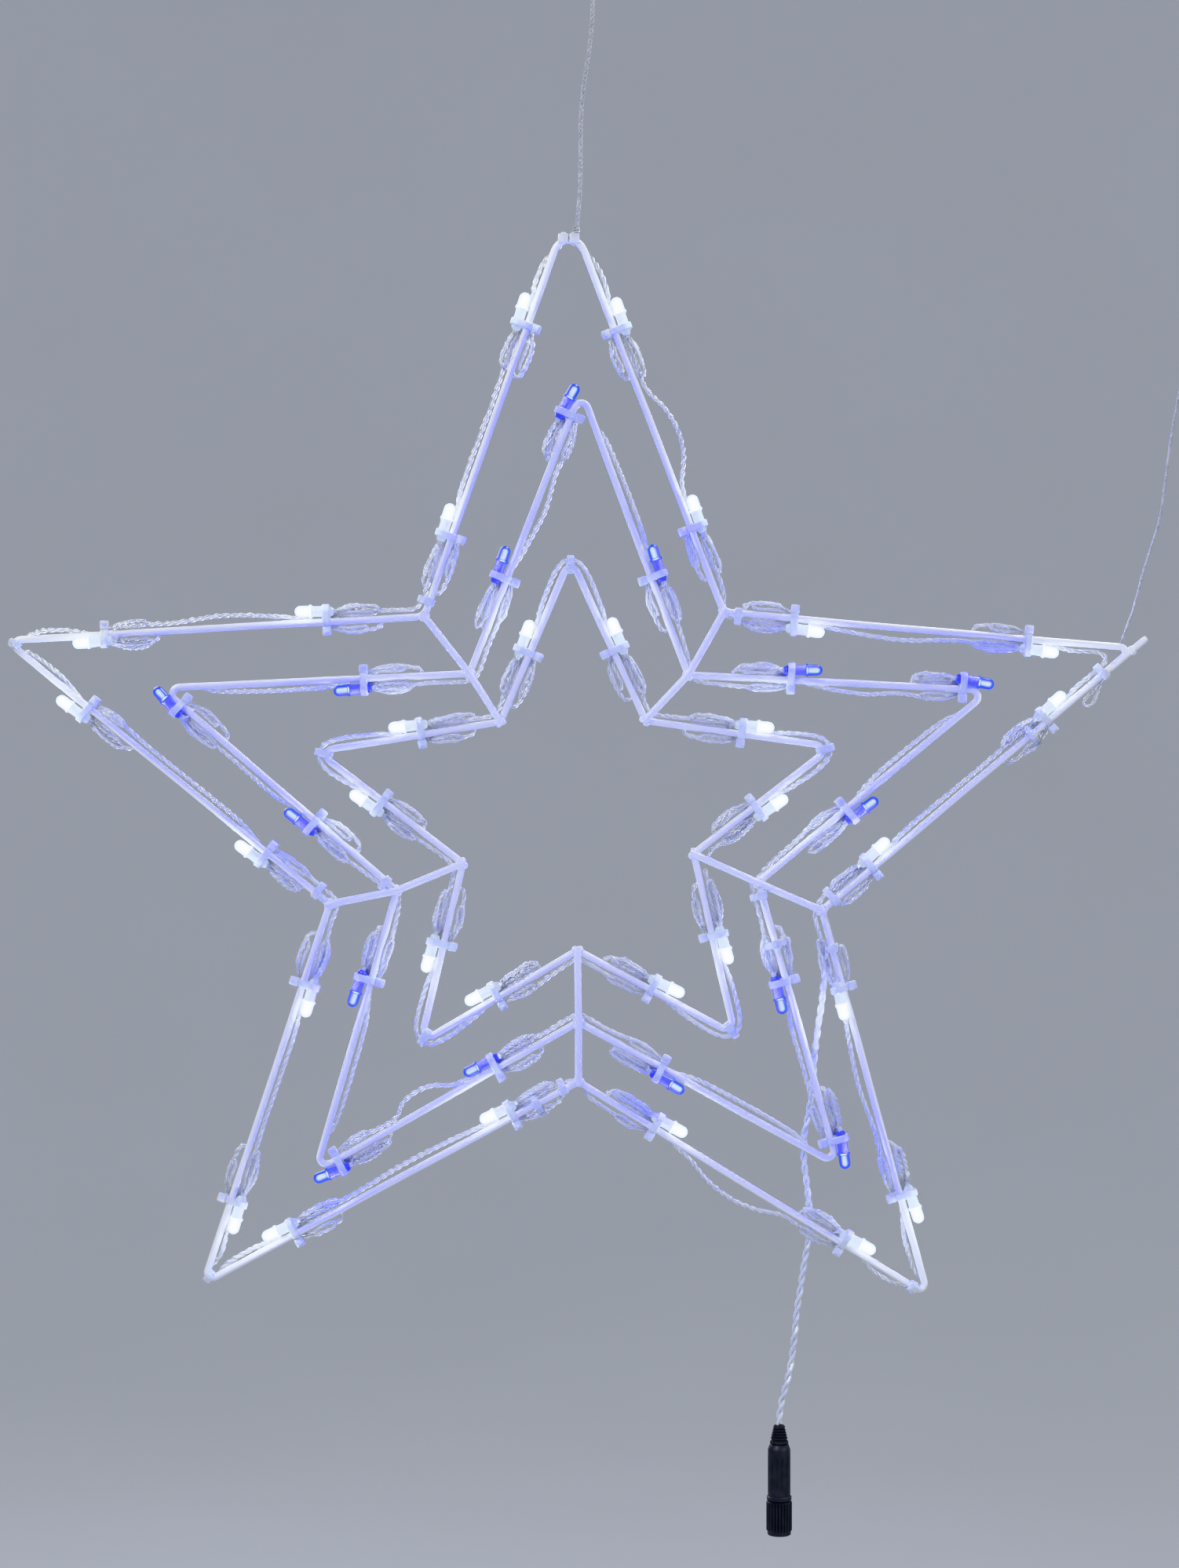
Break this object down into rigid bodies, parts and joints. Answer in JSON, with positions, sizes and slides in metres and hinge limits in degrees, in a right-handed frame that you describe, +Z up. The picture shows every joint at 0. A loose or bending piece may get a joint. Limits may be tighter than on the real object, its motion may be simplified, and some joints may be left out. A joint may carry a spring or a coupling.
{
  "type": "led christmas star",
  "caption": "Hanging wire star of light: nested wire stars joined by spokes, with lamps strapped along them, hanging cords and a plug-ended power lead.",
  "frame": {"origin": "inside top of the hanging cord's loop, where the hook carries the star", "axes": "+Z up, +X to the right as seen from the front, -Y towards the viewer; the stars stand in the XZ plane"},
  "size_m": [0.5274, 0.0187, 0.6964],
  "materials": {
    "white_powder_coat": "gloss",
    "clear_cable": "clear",
    "lamp_white": "clear",
    "lamp_blue": "clear",
    "grey_cord": "matt",
    "dark_plastic": "satin",
    "black_rubber": "matt",
    "contact_metal": "satin"
  },
  "bodies": {
    "star": {"connector_body": "dark_plastic", "connector_boot": "black_rubber", "connector_contacts": "contact_metal", "hanging_cord": "grey_cord", "hanging_loop": "grey_cord", "inner_lamp_01": "lamp_white", "inner_lamp_02": "lamp_white", "inner_lamp_03": "lamp_white", "inner_lamp_04": "lamp_white", "inner_lamp_05": "lamp_white", "inner_lamp_06": "lamp_white", "inner_lamp_07": "lamp_white", "inner_lamp_08": "lamp_white", "inner_lamp_09": "lamp_white", "inner_lamp_10": "lamp_white", "inner_light_cable": "clear_cable", "inner_star": "white_powder_coat", "middle_lamp_01": "lamp_blue", "middle_lamp_02": "lamp_blue", "middle_lamp_03": "lamp_blue", "middle_lamp_04": "lamp_blue", "middle_lamp_05": "lamp_blue", "middle_lamp_06": "lamp_blue", "middle_lamp_07": "lamp_blue", "middle_lamp_08": "lamp_blue", "middle_lamp_09": "lamp_blue", "middle_lamp_10": "lamp_blue", "middle_lamp_11": "lamp_blue", "middle_lamp_12": "lamp_blue", "middle_lamp_13": "lamp_blue", "middle_lamp_14": "lamp_blue", "middle_lamp_15": "lamp_blue", "middle_light_cable": "clear_cable", "middle_star": "white_powder_coat", "outer_lamp_01": "lamp_white", "outer_lamp_02": "lamp_white", "outer_lamp_03": "lamp_white", "outer_lamp_04": "lamp_white", "outer_lamp_05": "lamp_white", "outer_lamp_06": "lamp_white", "outer_lamp_07": "lamp_white", "outer_lamp_08": "lamp_white", "outer_lamp_09": "lamp_white", "outer_lamp_10": "lamp_white", "outer_lamp_11": "lamp_white", "outer_lamp_12": "lamp_white", "outer_lamp_13": "lamp_white", "outer_lamp_14": "lamp_white", "outer_lamp_15": "lamp_white", "outer_lamp_16": "lamp_white", "outer_lamp_17": "lamp_white", "outer_lamp_18": "lamp_white", "outer_lamp_19": "lamp_white", "outer_lamp_20": "lamp_white", "outer_light_cable": "clear_cable", "outer_star": "white_powder_coat", "power_lead": "clear_cable", "side_cord": "grey_cord", "side_loop": "grey_cord"},
    "ring": {"coupling_ring": "dark_plastic"}
  },
  "joints": [
    {"name": "coupling_ring_spin", "type": "hinge", "parent": "star", "child": "ring", "pos_m": [0.0827, 0.006, -0.68699], "axis": [0, 0, 1], "continuous": true}
  ]
}
